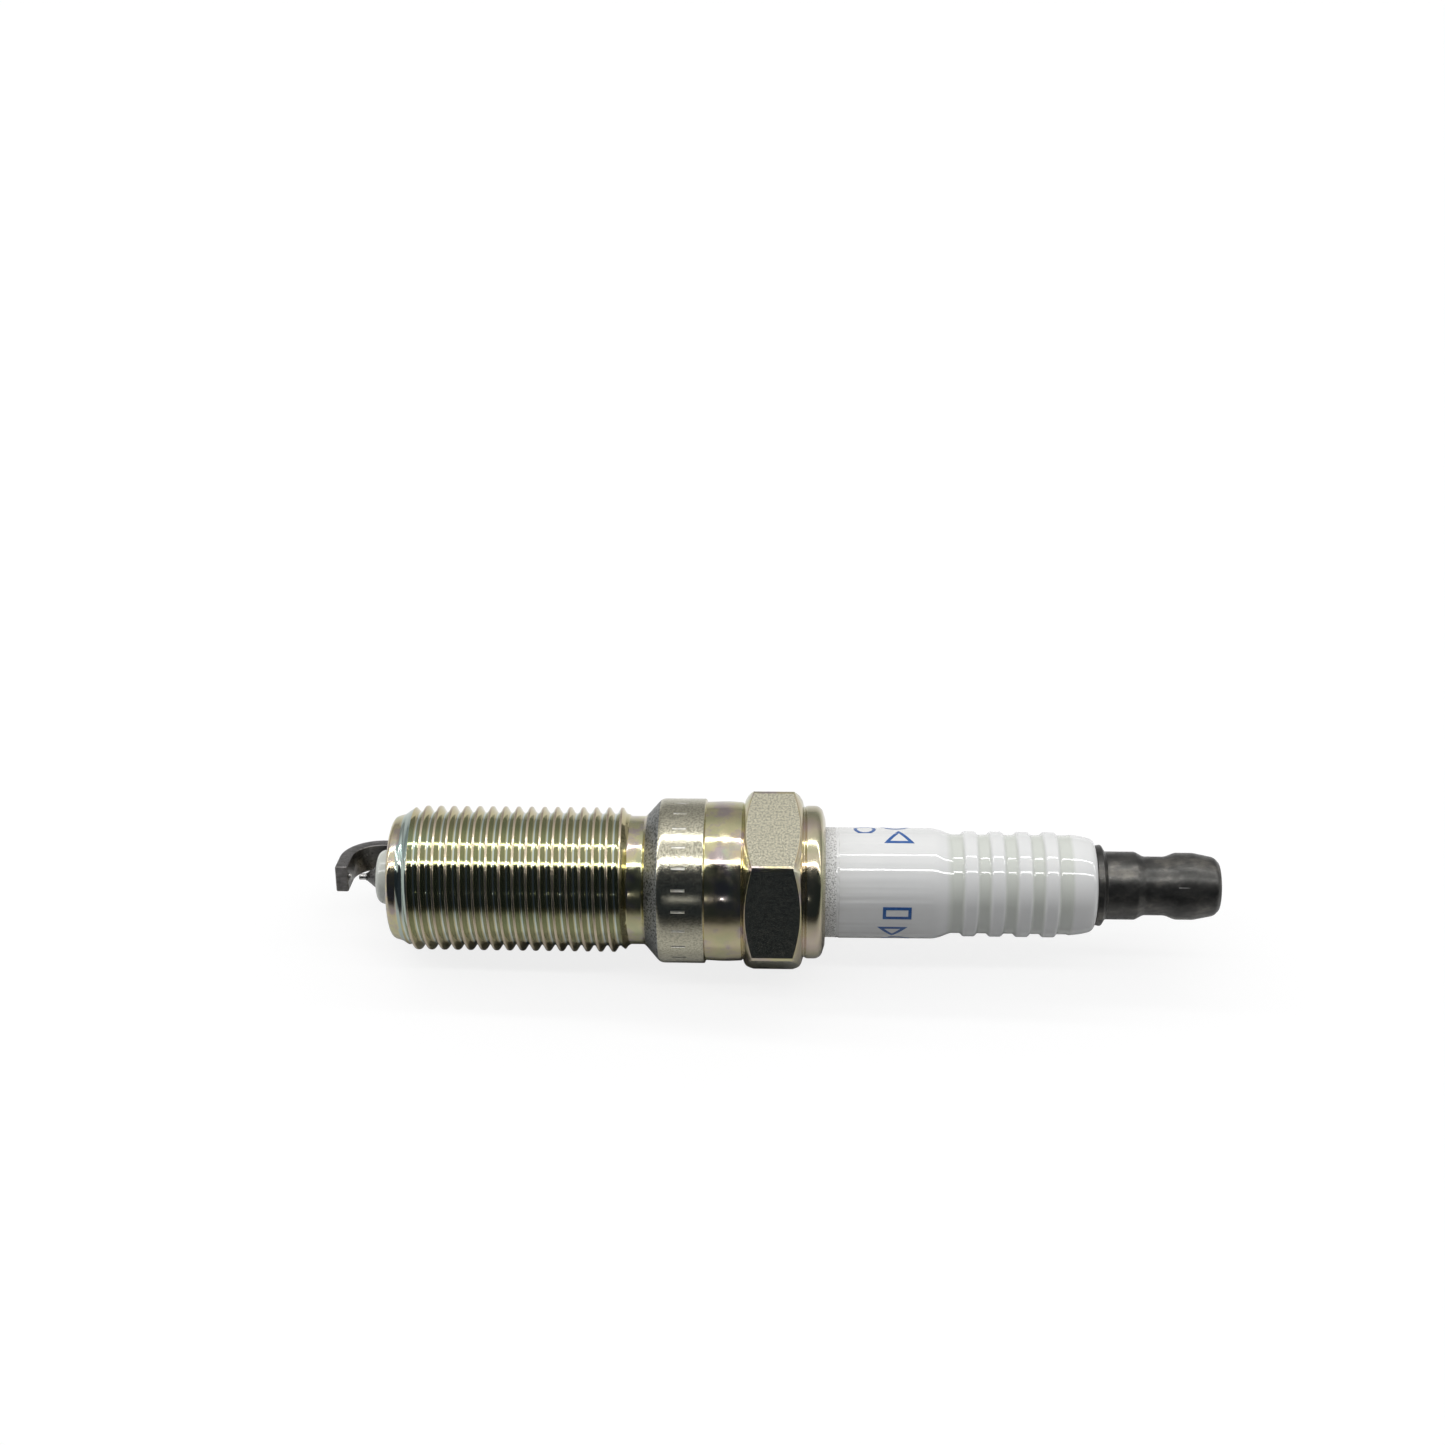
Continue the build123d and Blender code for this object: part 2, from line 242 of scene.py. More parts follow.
# %% Thread: trim both ends square
bpy.ops.object.mode_set(mode="EDIT")
bpy.ops.mesh.select_all(action="SELECT")
bpy.ops.mesh.remove_doubles(threshold=2e-7)
for x, side in ((TRIM_START, True), (TRIM_END, False)):
    bpy.ops.mesh.select_all(action="SELECT")
    bpy.ops.mesh.bisect(plane_co=(x * MM, 0, 0), plane_no=(1, 0, 0), clear_inner=side,
                        clear_outer=not side, threshold=1e-7)
bpy.ops.object.mode_set(mode="OBJECT")
ends = [min(v.co.x for v in thread.data.vertices), max(v.co.x for v in thread.data.vertices)]
print("thread trimmed to", [round(x / MM, 2) for x in ends])

# %% [markdown]
# ## The rest of the shell
# Ahead of the thread is a plain band and the open firing chamber. Behind it come the pilot, the
# conical seat, the stamped collar, a waist that is squeezed while red hot, the hexagon and the
# lip that is rolled over the insulator. All of it is turned, so it is one long open outline,
# from the front of the thread through the bore and back outside to the thread's other end.

# %% Shell: outline of everything but the thread
CHAMBER_R, BODY_BORE_R, CAGE_R, LIP_R = 4.25, 5.00, 6.15, 5.40
LEDGE_X, LEDGE_SLOPE, CAGE_X = -13.40, 0.80, 4.60
SEAT_START, SEAT_END = -0.65, 0.70
COLLAR_R, COLLAR_END = 7.85, 4.90
WAIST_R, WAIST_END = 7.55, 8.42
HEX_HALF, HEX_START, HEX_END = 8.0, 8.66, 14.09
HEX_CORNER_R, HEX_FACE_R = 9.12, 7.75
CRIMP_R, CRIMP_END = 7.28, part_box("shell")[1].x / MM
DASH_START, DASH_END = 1.95, 3.25

chamfer = (HEX_CORNER_R - HEX_FACE_R) * tan(radians(30))
inside = [
    (TRIM_START - 0.05, nose_band(TRIM_START - 0.05), 0),
    (SHELL_END, END_R, 0.72),
    (SHELL_END, CHAMBER_R, 0.12),
    (LEDGE_X, CHAMBER_R, 0),
    (LEDGE_X + LEDGE_SLOPE * (BODY_BORE_R - CHAMBER_R), BODY_BORE_R, 0),
    (CAGE_X, BODY_BORE_R, 0),
    (CAGE_X + CAGE_R - BODY_BORE_R, CAGE_R, 0),
    (CRIMP_END - 1.35, CAGE_R, 0.3),
    (CRIMP_END - 0.75, LIP_R, 0.2),
]
outside = [
    (CRIMP_END - 0.20, LIP_R, 0.12),
    (CRIMP_END + 0.02, LIP_R + 0.50, 0.35),
    (CRIMP_END - 0.40, CRIMP_R, 1.0),
    (HEX_END + 0.50, CRIMP_R, 0.35),
    (HEX_END + 0.18, CRIMP_R - 0.16, 0.06),
    (HEX_END, HEX_FACE_R, 0.05),
    (HEX_END - chamfer, HEX_CORNER_R, 0),
    (HEX_START + chamfer, HEX_CORNER_R, 0),
    (HEX_START, HEX_FACE_R, 0.05),
    (HEX_START - 0.10, WAIST_R - 0.12, 0.05),
    (WAIST_END + 0.10, WAIST_R - 0.12, 0.05),
    (WAIST_END, WAIST_R, 0.12),
    (6.80, WAIST_R + 0.09, 25),
    (COLLAR_END + 0.12, WAIST_R, 0.06),
    (COLLAR_END, COLLAR_R, 0.14),
    (DASH_END, COLLAR_R, 0),
    (DASH_START, COLLAR_R, 0),
    (SEAT_END, COLLAR_R, 0.92),
    (SEAT_START, PILOT_R + 0.20, 0.06),
    (SEAT_START - 0.25, PILOT_R, 0.15),
    (TRIM_END + 0.05, PILOT_R, 0),
]
shell = draw_outline("shell_body", rounded(inside + outside), closed=False)
spin_outline(shell)
print("shell turned:", len(shell.data.vertices), "vertices")

# %% [markdown]
# Two open tubes now have to become one skin. Join puts both meshes in one object, and Bridge
# Edge Loops closes the narrow gap at each end of the thread. The normals are recalculated last,
# when the mesh is closed and the operator can tell inside from outside.

# %% Shell: bridge it to the thread
def select_boundary_near(edit, x):
    """Selects the open edges within a fifth of a millimetre of x."""
    for edge in edit.edges:
        middle = (edge.verts[0].co.x + edge.verts[1].co.x) / 2
        edge.select = len(edge.link_faces) == 1 and abs(middle - x * MM) < 0.2 * MM


deselect_all()
thread.select_set(True)
shell.select_set(True)
bpy.context.view_layer.objects.active = shell
bpy.ops.object.join()
bpy.ops.object.mode_set(mode="EDIT")
bpy.ops.mesh.select_mode(type="EDGE")
for x in (TRIM_START, TRIM_END):
    bpy.ops.mesh.select_all(action="DESELECT")
    edit = bmesh.from_edit_mesh(shell.data)
    select_boundary_near(edit, x)
    edit.select_flush_mode()
    bmesh.update_edit_mesh(shell.data)
    bpy.ops.mesh.bridge_edge_loops()
bpy.ops.mesh.select_all(action="SELECT")
bpy.ops.mesh.normals_make_consistent(inside=False)
bpy.ops.object.mode_set(mode="OBJECT")
report(shell)

# %% [markdown]
# ## Stamping and milling
# The collar carries a ring of index dashes, pressed in with a punch. One narrow face in every
# eighth column is inset and pushed inwards. The wrench flats are milled: six planes at 8 mm from
# the axis cut the turned disc with the Bisect operator, which also fills each flat with one face.

# %% Shell: index dashes
DASH_COUNT, DASH_ANGLE, DASH_DEPTH = 24, 119.0, 0.10


def is_dash_face(face):
    """True for the one face of each dash column that lies between the dash's ends."""
    centre = face.calc_center_median() / MM
    if not DASH_START < centre.x < DASH_END or hypot(centre.y, centre.z) < COLLAR_R - 0.1:
        return False
    pitch = 360 / DASH_COUNT
    angle = degrees(atan2(centre.z, centre.y)) - DASH_ANGLE
    return abs((angle + pitch / 2) % pitch - pitch / 2) < 180 / AROUND


bpy.ops.object.mode_set(mode="EDIT")
bpy.ops.mesh.select_mode(type="FACE")
bpy.ops.mesh.select_all(action="DESELECT")
edit = bmesh.from_edit_mesh(shell.data)
dashes = [face for face in edit.faces if is_dash_face(face)]
for face in dashes:
    face.select = True
bmesh.update_edit_mesh(shell.data)
print("dashes:", len(dashes))
bpy.ops.mesh.inset(thickness=0.035 * MM, depth=-DASH_DEPTH * MM, use_individual=True)
bpy.ops.object.mode_set(mode="OBJECT")

# %% Shell: six wrench flats
bpy.ops.object.mode_set(mode="EDIT")
for k in range(6):
    angle = radians(90 + 60 * k)
    normal = Vector((0, cos(angle), sin(angle)))
    bpy.ops.mesh.select_all(action="SELECT")
    bpy.ops.mesh.bisect(plane_co=normal * HEX_HALF * MM, plane_no=normal, use_fill=True,
                        clear_outer=True, threshold=1e-7)
bpy.ops.mesh.select_all(action="DESELECT")
edit = bmesh.from_edit_mesh(shell.data)
flats = [face for face in edit.faces if face.calc_area() > 20 * MM ** 2 and face.calc_center_median().x > 0]
rims = {edge for face in flats for edge in face.edges}
for edge in rims:
    edge.select = True
edit.select_flush_mode()
bmesh.update_edit_mesh(shell.data)
print("flats milled:", len(flats), "with", len(rims), "rim edges")
bpy.ops.mesh.bevel(offset=0.07 * MM, segments=2, affect="EDGES", clamp_overlap=True)
bpy.ops.object.mode_set(mode="OBJECT")
smooth(shell, 40)
weigh_normals(shell)
hand_over(shell, "zinc_plated_shell", "shell")

# %% [markdown]
# ## The insulator
# One piece of alumina runs from the nose in the firing chamber to the terminal. Above the crimp
# it is glazed, and five shallow grooves lengthen the path that a stray spark would have to creep.
# It is ground on a wheel before firing, so it is turned here too. Every corner of the grooves
# gets a fillet, because glaze fills sharp edges. Below the glaze line the surface is bare and
# gritty, so that zone gets a row of extra points along X and a little noise on its radius.

# %% Insulator: outline and spin
SMALL_BORE_R, CAVITY_R, CAVITY_X = 1.25, 2.00, -10.0
NOSE_TIP, INSULATOR_END = (corner.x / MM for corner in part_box("insulator"))
BODY_R, FLANGE_R, FLANGE_START, FLANGE_END = 4.90, 6.05, 5.75, 9.60
BARREL_R, BARREL_START, BARREL_END = 5.25, 10.35, 26.80
BARE_R, GLAZE_START, GLAZE_RUNOUT = 5.22, 17.60, 0.65
RIB_R, GROOVE_R, LAST_RIB_R = 5.00, 4.70, 4.78
GROOVE_X, GROOVE_PITCH, GROOVE_COUNT = 28.68, 2.51, 5
GROOVE_TOP, GROOVE_BOTTOM, GROOVE_FILLET = 1.44, 0.90, 0.28
PACKING = 0.50


def groove_corners():
    """Corners of the grooves and ribs, from the barrel to the last rib."""
    corners = []
    for k in range(GROOVE_COUNT):
        x = GROOVE_X + GROOVE_PITCH * k
        first, last = k == 0, k == GROOVE_COUNT - 1
        before = (BARREL_END, BARREL_R, 3.0) if first else (x - GROOVE_TOP / 2, RIB_R, GROOVE_FILLET)
        corners.append(before)
        corners.append((x - GROOVE_BOTTOM / 2, GROOVE_R, GROOVE_FILLET))
        corners.append((x + GROOVE_BOTTOM / 2, GROOVE_R, GROOVE_FILLET))
        corners.append((x + GROOVE_TOP / 2, LAST_RIB_R if last else RIB_R, GROOVE_FILLET))
    return corners


def rise(r):
    """How far the ledge's cone has climbed along X at radius r."""
    return LEDGE_SLOPE * (r - CHAMBER_R)


BARE_START, BARE_STEP, BARE_STEPS = CRIMP_END - 0.3, 0.06, 27
GRIT_COARSE, GRIT_FINE, GRIT_DEPTH = 0.16, 0.07, 0.010   # two grain sizes in mm, share of the radius

bare_zone = [(BARE_START + BARE_STEP * k, BARE_R, 0) for k in range(BARE_STEPS)]
insulator = turned("insulator_body", [
    (CAVITY_X + CAVITY_R - SMALL_BORE_R, CAVITY_R, 0),
    (CAVITY_X, SMALL_BORE_R, 0),
    (NOSE_TIP, SMALL_BORE_R, 0.1),
    (NOSE_TIP, 2.52, 0.7),
    (-25.0, 2.70, 6),
    (-15.2, 3.10, 1.5),
    (LEDGE_X + PACKING + rise(3.70), 3.70, 0),
    (LEDGE_X + PACKING + rise(BODY_R), BODY_R, 0.2),
    (FLANGE_START - FLANGE_R + BODY_R, BODY_R, 1.0),
    (FLANGE_START, FLANGE_R, 0.3),
    (FLANGE_END, FLANGE_R, 0.3),
    (BARREL_START, BARE_R, 0.5),
    *bare_zone,
    (GLAZE_START, BARREL_R, 0.05),
    *groove_corners(),
    (INSULATOR_END - 1.3, 4.66, 4.0),
    (INSULATOR_END, 4.36, 0.8),
    (INSULATOR_END, CAVITY_R, 0.15),
])
for v in insulator.data.vertices:
    x = v.co.x / MM
    if BARE_START < x < GLAZE_START + 0.02 and hypot(v.co.y, v.co.z) > 5 * MM:
        grit = noise.noise(v.co / (GRIT_COARSE * MM)) + 0.6 * noise.noise(v.co / (GRIT_FINE * MM))
        swell = 1 + GRIT_DEPTH * grit
        v.co.y *= swell
        v.co.z *= swell
smooth(insulator, 35)
hand_over(insulator, "glazed_insulator", "insulator")

# %% [markdown]
# ## The terminal stud
# The terminal is the end of a steel pin that is glued into the insulator with glass. Only its
# flange, its cylinder and its barrel-shaped head show. The connector's spring snaps into the
# neck between them. The hidden end is rolled with rings that the glass grips.

# %% Terminal stud
STUD_TIP, KNURL_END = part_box("terminal_stud")[0].x / MM, 18.5
POST_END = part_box("terminal_stud")[1].x / MM
STEM_R, KNURL_R, KNURL_RINGS = 1.70, 1.92, 7
POST_R, NECK_R, HEAD_R = 3.23, 2.79, 3.175

ring = (KNURL_END - STUD_TIP) / KNURL_RINGS
rings = []
for k in range(KNURL_RINGS):
    x = STUD_TIP + ring * k
    rings += [(x, STEM_R, 0), (x + ring * 0.25, KNURL_R, 0.05), (x + ring * 0.75, KNURL_R, 0.05)]
stud = turned("terminal_post", [
    (STUD_TIP, 0, 0),
    *rings,
    (KNURL_END, STEM_R, 0),
    (INSULATOR_END, STEM_R, 0),
    (INSULATOR_END, 3.76, 0.12),
    (INSULATOR_END + 0.60, 3.88, 0.2),
    (INSULATOR_END + 0.86, 3.45, 0.12),
    (INSULATOR_END + 1.02, POST_R, 0.1),
    (45.64, POST_R, 0.5),
    (46.45, NECK_R, 0.9),
    (48.50, NECK_R, 1.5),
    (49.45, HEAD_R, 1.2),
    (51.15, HEAD_R, 1.6),
    (POST_END - 0.45, 2.78, 0.9),
    (POST_END, 2.30, 0.3),
    (POST_END, 0, 0),
])
smooth(stud, 35)
hand_over(stud, "oxidised_stud", "terminal_stud")

# %% [markdown]
# ## The electrodes
# The centre electrode is a nickel-alloy sheath with a copper core. It tapers to a fine wire of
# precious metal, which needs less voltage to spark. A tiny ring of melted metal is left where
# the laser welds the wire on. All three are turned shapes.

# %% Centre electrode, its wire and the facing pad
WIRE_TIP, WIRE_END = (corner.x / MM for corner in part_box("centre_electrode_tip"))
CONE_TIP, HEAD_BACK = (corner.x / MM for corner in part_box("centre_electrode"))
CORE_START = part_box("centre_electrode_core")[0].x / MM
WIRE_R, CORE_R = 0.30, 0.65
PAD_START, PAD_END = (corner.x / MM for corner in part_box("ground_electrode_pad"))

sheath = turned("centre_electrode_sheath", [
    (WIRE_END, 0, 0),
    (WIRE_END, WIRE_R, 0),
    (CONE_TIP, WIRE_R, 0.02),
    (CONE_TIP, 0.36, 0.05),
    (CONE_TIP + 0.14, 0.40, 0.08),
    (-26.65, SMALL_BORE_R, 0.15),
    (CAVITY_X, SMALL_BORE_R, 0),
    (CAVITY_X + 0.60, 1.85, 0),
    (HEAD_BACK - 0.70, 1.85, 0.3),
    (HEAD_BACK - 0.70, 1.00, 0),
    (HEAD_BACK, 0.95, 0),
    (HEAD_BACK, CORE_R, 0),
    (CORE_START, CORE_R, 0.3),
    (CORE_START, 0, 0),
])
smooth(sheath, 35)
hand_over(sheath, "nickel_alloy", "centre_electrode")

wire = turned("centre_electrode_wire", [
    (WIRE_TIP, 0, 0),
    (WIRE_TIP, WIRE_R, 0.04),
    (WIRE_END, WIRE_R, 0),
    (WIRE_END, 0, 0),
])
smooth(wire, 35)
hand_over(wire, "precious_metal", "centre_electrode_tip")

pad = turned("ground_pad", [
    (PAD_START, 0, 0),
    (PAD_START, 0.36, 0.03),
    (PAD_END, 0.34, 0.05),
    (PAD_END, 0, 0),
])
smooth(pad, 35)
hand_over(pad, "precious_metal", "ground_electrode_pad")

# %% [markdown]
# The ground electrode is a flat strap of nickel alloy. It is welded on the shell's end and bent
# over the wire. A thin block is the start: its end face is spun a quarter turn round the bend's
# centre, then pulled straight to its tip. A Bevel modifier rounds the drawn strap's edges.

# %% Ground electrode
STRAP_WIDTH, STRAP_THICK = 2.65, 1.20
STRAP_MIDDLE_R, STRAP_BEND_R, STRAP_OVERHANG, STRAP_ANGLE = 4.95, 3.20, 0.70, -27.0
STRAP_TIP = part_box("ground_electrode")[0].x / MM
BEND_X = STRAP_TIP + STRAP_THICK / 2 + STRAP_BEND_R


def faces_towards(edit, direction):
    """Selects only the faces that look along the direction and returns them."""
    chosen = [face for face in edit.faces if face.normal.dot(direction) > 0.99]
    for face in edit.faces:
        face.select = face in chosen
    edit.select_flush_mode()
    return chosen


deselect_all()
bpy.ops.mesh.primitive_cube_add(size=MM, location=((SHELL_END + BEND_X) / 2 * MM, STRAP_MIDDLE_R * MM, 0))
strap = bpy.context.object
strap.name = "ground_strap"
strap.scale = (SHELL_END - BEND_X, STRAP_THICK, STRAP_WIDTH)
bpy.ops.object.transform_apply(location=True, rotation=False, scale=True)
bpy.ops.object.mode_set(mode="EDIT")
bpy.ops.mesh.select_mode(type="FACE")
edit = bmesh.from_edit_mesh(strap.data)
faces_towards(edit, Vector((-1, 0, 0)))
bmesh.update_edit_mesh(strap.data)
centre = (BEND_X * MM, (STRAP_MIDDLE_R - STRAP_BEND_R) * MM, 0)
bpy.ops.mesh.spin(steps=24, angle=-pi / 2, center=centre, axis=(0, 0, 1))
bpy.ops.mesh.extrude_region_move(TRANSFORM_OT_translate={
    "value": (0, -(STRAP_OVERHANG + STRAP_MIDDLE_R - STRAP_BEND_R) * MM, 0)})
bpy.ops.mesh.select_all(action="SELECT")
bpy.ops.mesh.remove_doubles(threshold=1e-7)
bpy.ops.mesh.normals_make_consistent(inside=False)
bpy.ops.object.mode_set(mode="OBJECT")
edges = strap.modifiers.new("round edges", "BEVEL")
edges.width = 0.16 * MM
edges.segments = 4
edges.limit_method = "ANGLE"
edges.angle_limit = radians(50)
bpy.ops.object.modifier_apply(modifier=edges.name)
strap.rotation_euler.x = radians(STRAP_ANGLE)
bpy.ops.object.transform_apply(location=False, rotation=True, scale=False)
smooth(strap, 30)
weigh_normals(strap)
hand_over(strap, "nickel_alloy", "ground_electrode")
lows = [min(v.co[i] for v in strap.data.vertices) / MM for i in range(3)]
highs = [max(v.co[i] for v in strap.data.vertices) / MM for i in range(3)]
print("strap from", [round(c, 2) for c in lows], "to", [round(c, 2) for c in highs])

# %% [markdown]
# ## Printed marks
# A plug carries a few blue signs on its glaze. Here they are plain shapes with no meaning:
# rings, rectangles and triangles, each about as large as a printed letter. Each shape is drawn
# flat as a filled circle primitive with few or many corners, inset to leave a stroke, wrapped
# on the barrel, and given the thickness of a coat of ink.

# %% Printed marks: draw flat, wrap, thicken
INK_R = BARREL_R - 0.004      # the ink's underside, just inside the glaze
INK_THICK = 0.018
STROKE = 0.31
MARKS = [  # corners, height along the plug, width round it, x, angle about X, turn
    (3, 3.3, 2.9, 23.2, 74, 180), (40, 2.7, 2.7, 22.9, 38, 0), (4, 3.8, 3.4, 22.9, 2, 45),
    (40, 2.1, 2.4, 20.0, 53, 0), (3, 2.5, 2.5, 19.8, 24, 0), (4, 2.9, 2.9, 20.0, -6, 45),
    (4, 3.8, 1.9, 23.0, 160, 45), (3, 3.3, 2.3, 22.6, 185, 0), (40, 2.7, 2.2, 23.0, 213, 0),
]


def flat_sign(corners, height, width, turn):
    """A ring or a hollow polygon in the XY plane, in the middle of the grid."""
    deselect_all()
    bpy.ops.mesh.primitive_circle_add(vertices=corners, radius=MM / 2, fill_type="NGON")
    sign = bpy.context.object
    sign.rotation_euler.z = radians(turn)
    bpy.ops.object.transform_apply(location=False, rotation=True, scale=False)
    sign.scale = (height, width, 1)
    bpy.ops.object.transform_apply(location=False, rotation=False, scale=True)
    bpy.ops.object.mode_set(mode="EDIT")
    bpy.ops.mesh.select_mode(type="FACE")
    bpy.ops.mesh.select_all(action="SELECT")
    bpy.ops.mesh.inset(thickness=STROKE * MM, use_even_offset=True)
    bpy.ops.mesh.delete(type="FACE")
    bpy.ops.mesh.select_all(action="SELECT")
    bpy.ops.mesh.subdivide(number_cuts=1 if corners > 12 else 11)
    bpy.ops.object.mode_set(mode="OBJECT")
    return sign


def wrap(sign, x, angle):
    """Lays the flat sign on the barrel: its width becomes a stretch of arc."""
    for v in sign.data.vertices:
        around = radians(angle) + v.co.y / (INK_R * MM)
        v.co = Vector((x * MM + v.co.x, INK_R * MM * cos(around), INK_R * MM * sin(around)))


signs = []
for corners, height, width, x, angle, turn in MARKS:
    sign = flat_sign(corners, height, width, turn)
    wrap(sign, x, angle)
    signs.append(sign)
deselect_all()
for sign in signs:
    sign.select_set(True)
bpy.context.view_layer.objects.active = signs[0]
bpy.ops.object.join()
ink = bpy.context.object
ink.name = "printed_marks"
coat = ink.modifiers.new("coat", "SOLIDIFY")
coat.thickness = INK_THICK * MM
coat.offset = -1          # wrapping has turned the faces inwards, so this thickens outwards
bpy.ops.object.modifier_apply(modifier=coat.name)
bpy.ops.object.mode_set(mode="EDIT")
bpy.ops.mesh.select_all(action="SELECT")
bpy.ops.mesh.normals_make_consistent(inside=False)
bpy.ops.object.mode_set(mode="OBJECT")
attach(ink, "root")
report(ink)

# %% [markdown]
# ## Finishes
# A finish is a small tree of nodes around one Principled shader. The helper below adds a node
# and wires it in one line. Patterns read Object coordinates, so they stay put on the piece, and
# a number that is the same everywhere is set on the shader itself.

# %% Helpers for finishes
def finish(name, color, metallic=0.0, roughness=0.5, **sockets):
    """A new material and its Principled shader, with the constant sockets set."""
    material = bpy.data.materials.new(name)
    material.use_nodes = True
    shader = material.node_tree.nodes["Principled BSDF"]
    shader.inputs["Base Color"].default_value = (*color, 1)
    shader.inputs["Metallic"].default_value = metallic
    shader.inputs["Roughness"].default_value = roughness
    for socket, value in sockets.items():
        shader.inputs[socket.replace("_", " ")].default_value = value
    return material, shader


def add(material, kind, links=(), **values):
    """Adds a node, sets its values, and wires (socket, source) pairs into it."""
    node = material.node_tree.nodes.new("ShaderNode" + kind)
    for key, value in values.items():
        if hasattr(node, key):
            setattr(node, key, value)
        else:
            node.inputs[key.replace("_", " ")].default_value = value
    for socket, source in links:
        material.node_tree.links.new(source, node.inputs[socket])
    return node


def wire_in(material, source, target, socket):
    material.node_tree.links.new(source, target.inputs[socket])


def place(material, stretch=(1, 1, 1)):
    """Object coordinates, stretched along X, Y and Z."""
    where = add(material, "TexCoord")
    return add(material, "Mapping", [("Vector", where.outputs["Object"])], Scale=stretch).outputs[0]


def grain(material, size_mm, stretch=(1, 1, 1), detail=3.0, rough=0.5):
    """Noise whose grains are about size_mm across."""
    return add(material, "TexNoise", [("Vector", place(material, stretch))],
               Scale=1 / (size_mm * MM), Detail=detail, Roughness=rough).outputs["Fac"]


def ramp(material, source, *stops):
    """A colour ramp from (position, colour) stops; a colour may be one grey number."""
    node = add(material, "ValToRGB", [("Fac", source)])
    elements = node.color_ramp.elements
    while len(elements) < len(stops):
        elements.new(0.5)
    for element, (position, colour) in zip(elements, stops):
        element.position = position
        element.color = (colour, colour, colour, 1) if isinstance(colour, float) else (*colour, 1)
    return node.outputs["Color"]


def blend_colours(material, share, first, second, mode="MIX"):
    """Mixes two colour outputs by a share output or number."""
    node = add(material, "Mix", data_type="RGBA", blend_type=mode)
    tree = material.node_tree
    for socket, value in ((0, share), (6, first), (7, second)):
        if isinstance(value, (int, float)):
            node.inputs[socket].default_value = value
        elif isinstance(value, tuple):
            node.inputs[socket].default_value = (*value, 1)
        else:
            tree.links.new(value, node.inputs[socket])
    return node.outputs[2]


def bump(material, shader, height, depth_mm, strength=1.0):
    """Raises the surface by height, a 0 to 1 pattern, times depth_mm."""
    node = add(material, "Bump", [("Height", height)], Strength=strength, Distance=depth_mm * MM)
    wire_in(material, node.outputs["Normal"], shader, "Normal")


def coat_with(piece, *materials):
    """Replaces the piece's materials."""
    piece.data.materials.clear()
    for material in materials:
        piece.data.materials.append(material)

# %% [markdown]
# ### Yellow zinc on the shell
# The steel is plated with zinc and passivated, which leaves a thin film that shines olive, gold
# and teal by turns, with rose patches. The film's colour is a slow noise through a ramp. On the
# rolled thread the colour also reads the X part of the surface normal, which is painted light:
# the flanks that face the tip are painted cooler than those that face the hexagon, and the faces
# that look straight out, along the roots, get a pale painted highlight. The crests are told from
# the roots by their distance from the axis. A mirror in a groove shows each colour twice, so the
# flanks are set paler than they will look.

# %% Bright plating
def from_axis(material, low_mm, high_mm):
    """0 to 1 as the distance from the plug's axis goes from low_mm to high_mm."""
    spoke = add(material, "VectorMath", [("Vector", place(material, (0, 1, 1)))], operation="LENGTH")
    return add(material, "MapRange", [("Value", spoke.outputs["Value"])],
               From_Min=low_mm * MM, From_Max=high_mm * MM).outputs[0]


def facing_along(material, reach):
    """0 where the surface faces the tip, 1 where it faces the hexagon."""
    where = add(material, "TexCoord")
    across = add(material, "SeparateXYZ", [("Vector", where.outputs["Normal"])]).outputs["X"]
    return add(material, "MapRange", [("Value", across)], From_Min=-reach, From_Max=reach).outputs[0]


def zinc_film(material):
    """The slow drift of the film's colour, from olive through gold to teal and rose."""
    return ramp(material, grain(material, 4.0, detail=4.0),
                (0.30, (0.50, 0.52, 0.33)), (0.44, (0.63, 0.59, 0.35)),
                (0.56, (0.68, 0.58, 0.40)), (0.70, (0.50, 0.57, 0.44)))


def bright_plating():
    material, shader = finish("bright_plating", (0.62, 0.58, 0.36), metallic=1.0, roughness=0.13)
    rose = ramp(material, grain(material, 1.9, detail=4.0, rough=0.6), (0.50, 0.0), (0.64, 0.8))
    tint = blend_colours(material, rose, zinc_film(material), (0.50, 0.42, 0.44))
    wire_in(material, tint, shader, "Base Color")
    wire_in(material, ramp(material, grain(material, 1.2), (0.35, 0.08), (0.70, 0.24)), shader, "Roughness")
    bump(material, shader, grain(material, 1.6, (1, 0.7, 0.7), detail=2.0), 0.020)
    return material


def thread_plating():
    """The same film on the rolled thread, with painted light: olive and teal flanks by facing, gold crests,
    and pale roots as a painted highlight.
    """
    material, shader = finish("thread_plating", (0.5, 0.5, 0.3), metallic=1.0, roughness=0.15)
    # painted light: the flank colour follows which way the surface faces, olive towards the hexagon and teal
    # towards the tip, and the pale middle stop is a painted highlight along the roots
    flanks = ramp(material, facing_along(material, 0.86),
                  (0.02, (0.36, 0.48, 0.48)), (0.26, (0.41, 0.54, 0.54)), (0.50, (0.76, 0.87, 0.85)),
                  (0.72, (0.62, 0.55, 0.31)), (0.98, (0.57, 0.49, 0.25)))
    drift = blend_colours(material, 0.25, flanks, zinc_film(material))
    height = from_axis(material, 6.30, 6.90)
    crest = ramp(material, height, (0.92, 0.0), (1.0, 1.0))
    wire_in(material, blend_colours(material, crest, drift, (0.68, 0.57, 0.43)), shader, "Base Color")
    wire_in(material, ramp(material, height, (0.80, 0.09), (1.0, 0.24)), shader, "Roughness")
    bump(material, shader, grain(material, 1.0, (6, 0.8, 0.8), detail=3.0), 0.004)
    return material


bright = bright_plating()
rolled = thread_plating()
